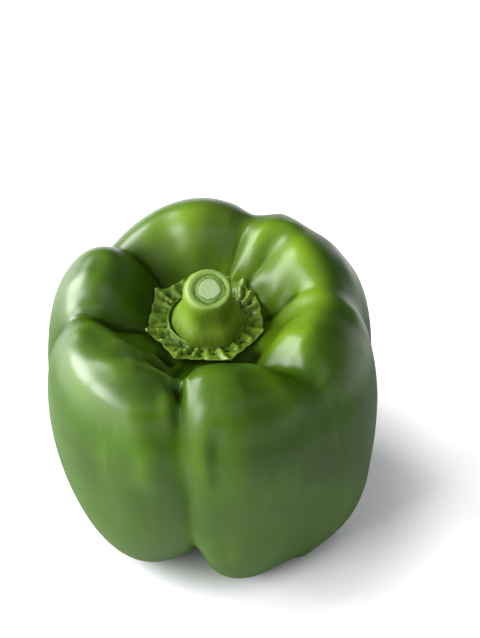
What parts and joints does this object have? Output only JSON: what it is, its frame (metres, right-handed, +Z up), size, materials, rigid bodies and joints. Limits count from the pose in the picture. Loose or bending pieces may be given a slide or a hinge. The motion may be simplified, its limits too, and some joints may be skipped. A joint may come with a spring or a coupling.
{
  "type": "bell pepper",
  "caption": "Whole blocky green bell pepper as picked, with deep grooves between its lobes, a hollow crown, a puckered calyx and a short cut stem.",
  "frame": {"origin": "on the ground under the middle of the pepper's box", "axes": "+Z up, out of the crown and along the stem; -Y to the front, the side with the deepest groove; +X to the right"},
  "size_m": [0.0844, 0.0854, 0.0842],
  "materials": {
    "skin": "waxy gloss",
    "calyx": "satin, puckered",
    "stem": "satin, finely ribbed"
  },
  "bodies": {
    "root": {"fruit": "skin", "calyx": "calyx", "stem": "stem"}
  },
  "joints": []
}
